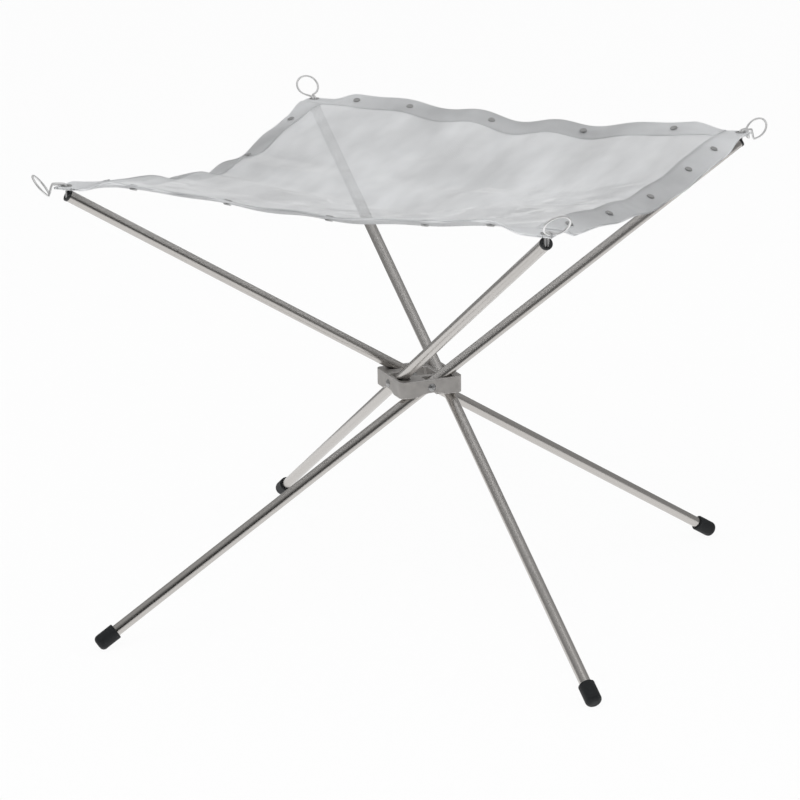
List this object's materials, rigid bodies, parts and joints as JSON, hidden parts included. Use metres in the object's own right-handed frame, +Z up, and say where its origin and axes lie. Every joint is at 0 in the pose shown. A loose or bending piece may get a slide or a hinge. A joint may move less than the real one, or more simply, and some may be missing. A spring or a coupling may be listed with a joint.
{
  "type": "folding fire pit",
  "caption": "Folding fire pit: steel tubes cross in a slotted cast hub and carry a hanging square of woven steel mesh by wire hooks at its corners.",
  "frame": {"origin": "on the ground under the middle of the hub", "axes": "+Z up along the hub's axis; +X and +Y along the pivot pins, with the front hook towards -Y"},
  "size_m": [0.638, 0.6344, 0.3967],
  "materials": {
    "cast_hub": "die cast, satin",
    "pin_steel": "satin",
    "tube_steel": "polished lengthwise",
    "black_rubber": "matt",
    "black_plastic": "matt",
    "woven_mesh": "fine woven steel wire",
    "hem_mesh": "fine woven steel wire, doubled",
    "rivet_steel": "satin",
    "hook_wire": "bright drawn wire"
  },
  "bodies": {
    "hub": {"hub": "cast_hub", "pivot_pin_1": "pin_steel", "pivot_pin_2": "pin_steel", "pivot_pin_3": "pin_steel", "pivot_pin_4": "pin_steel"},
    "leg_1": {"tube_1": "tube_steel", "foot_cap_1": "black_rubber", "end_plug_1": "black_plastic"},
    "leg_2": {"tube_2": "tube_steel", "foot_cap_2": "black_rubber", "end_plug_2": "black_plastic"},
    "leg_3": {"tube_3": "tube_steel", "foot_cap_3": "black_rubber", "end_plug_3": "black_plastic"},
    "leg_4": {"tube_4": "tube_steel", "foot_cap_4": "black_rubber", "end_plug_4": "black_plastic"},
    "mesh": {"mesh_sheet": "woven_mesh", "hem_1": "hem_mesh", "hem_2": "hem_mesh", "hem_3": "hem_mesh", "hem_4": "hem_mesh", "hem_rivets": "rivet_steel", "corner_eyelets": "rivet_steel"},
    "hook_1": {"hook_1": "hook_wire"},
    "hook_2": {"hook_2": "hook_wire"},
    "hook_3": {"hook_3": "hook_wire"},
    "hook_4": {"hook_4": "hook_wire"}
  },
  "joints": [
    {"name": "leg_fold_1", "type": "hinge", "parent": "hub", "child": "leg_1", "pos_m": [0.0205, 0, 0.18855], "axis": [1, 0, 0], "range_deg": [0, 58]},
    {"name": "leg_fold_2", "type": "hinge", "parent": "hub", "child": "leg_2", "pos_m": [0, 0.0205, 0.18855], "axis": [0, 1, 0], "range_deg": [0, 58]},
    {"name": "leg_fold_3", "type": "hinge", "parent": "hub", "child": "leg_3", "pos_m": [-0.0205, 0, 0.18855], "axis": [-1, 0, 0], "range_deg": [0, 58]},
    {"name": "leg_fold_4", "type": "hinge", "parent": "hub", "child": "leg_4", "pos_m": [0, -0.0205, 0.18855], "axis": [0, -1, 0], "range_deg": [0, 58]},
    {"name": "mesh_lift", "type": "slide", "parent": "hub", "child": "mesh", "axis": [0, 0, 1], "range_m": [0, 0.456]},
    {"name": "hook_swivel_1", "type": "hinge", "parent": "mesh", "child": "hook_1", "pos_m": [0.0205, 0.29258, 0.37746], "axis": [0, 0, 1], "range_deg": [-70, 70]},
    {"name": "hook_swivel_2", "type": "hinge", "parent": "mesh", "child": "hook_2", "pos_m": [-0.29258, 0.0205, 0.37746], "axis": [0, 0, 1], "range_deg": [-50, 90]},
    {"name": "hook_swivel_3", "type": "hinge", "parent": "mesh", "child": "hook_3", "pos_m": [-0.0205, -0.29258, 0.37746], "axis": [0, 0, 1], "range_deg": [-70, 70]},
    {"name": "hook_swivel_4", "type": "hinge", "parent": "mesh", "child": "hook_4", "pos_m": [0.29258, -0.0205, 0.37746], "axis": [0, 0, 1], "range_deg": [-90, 50]}
  ],
  "couplings": [
    {"joint": "leg_fold_2", "follows": "leg_fold_1", "ratio": 1},
    {"joint": "leg_fold_3", "follows": "leg_fold_1", "ratio": 1},
    {"joint": "leg_fold_4", "follows": "leg_fold_1", "ratio": 1},
    {"joint": "mesh_lift", "follows": "leg_fold_1", "m_per_rad": 0.45}
  ]
}
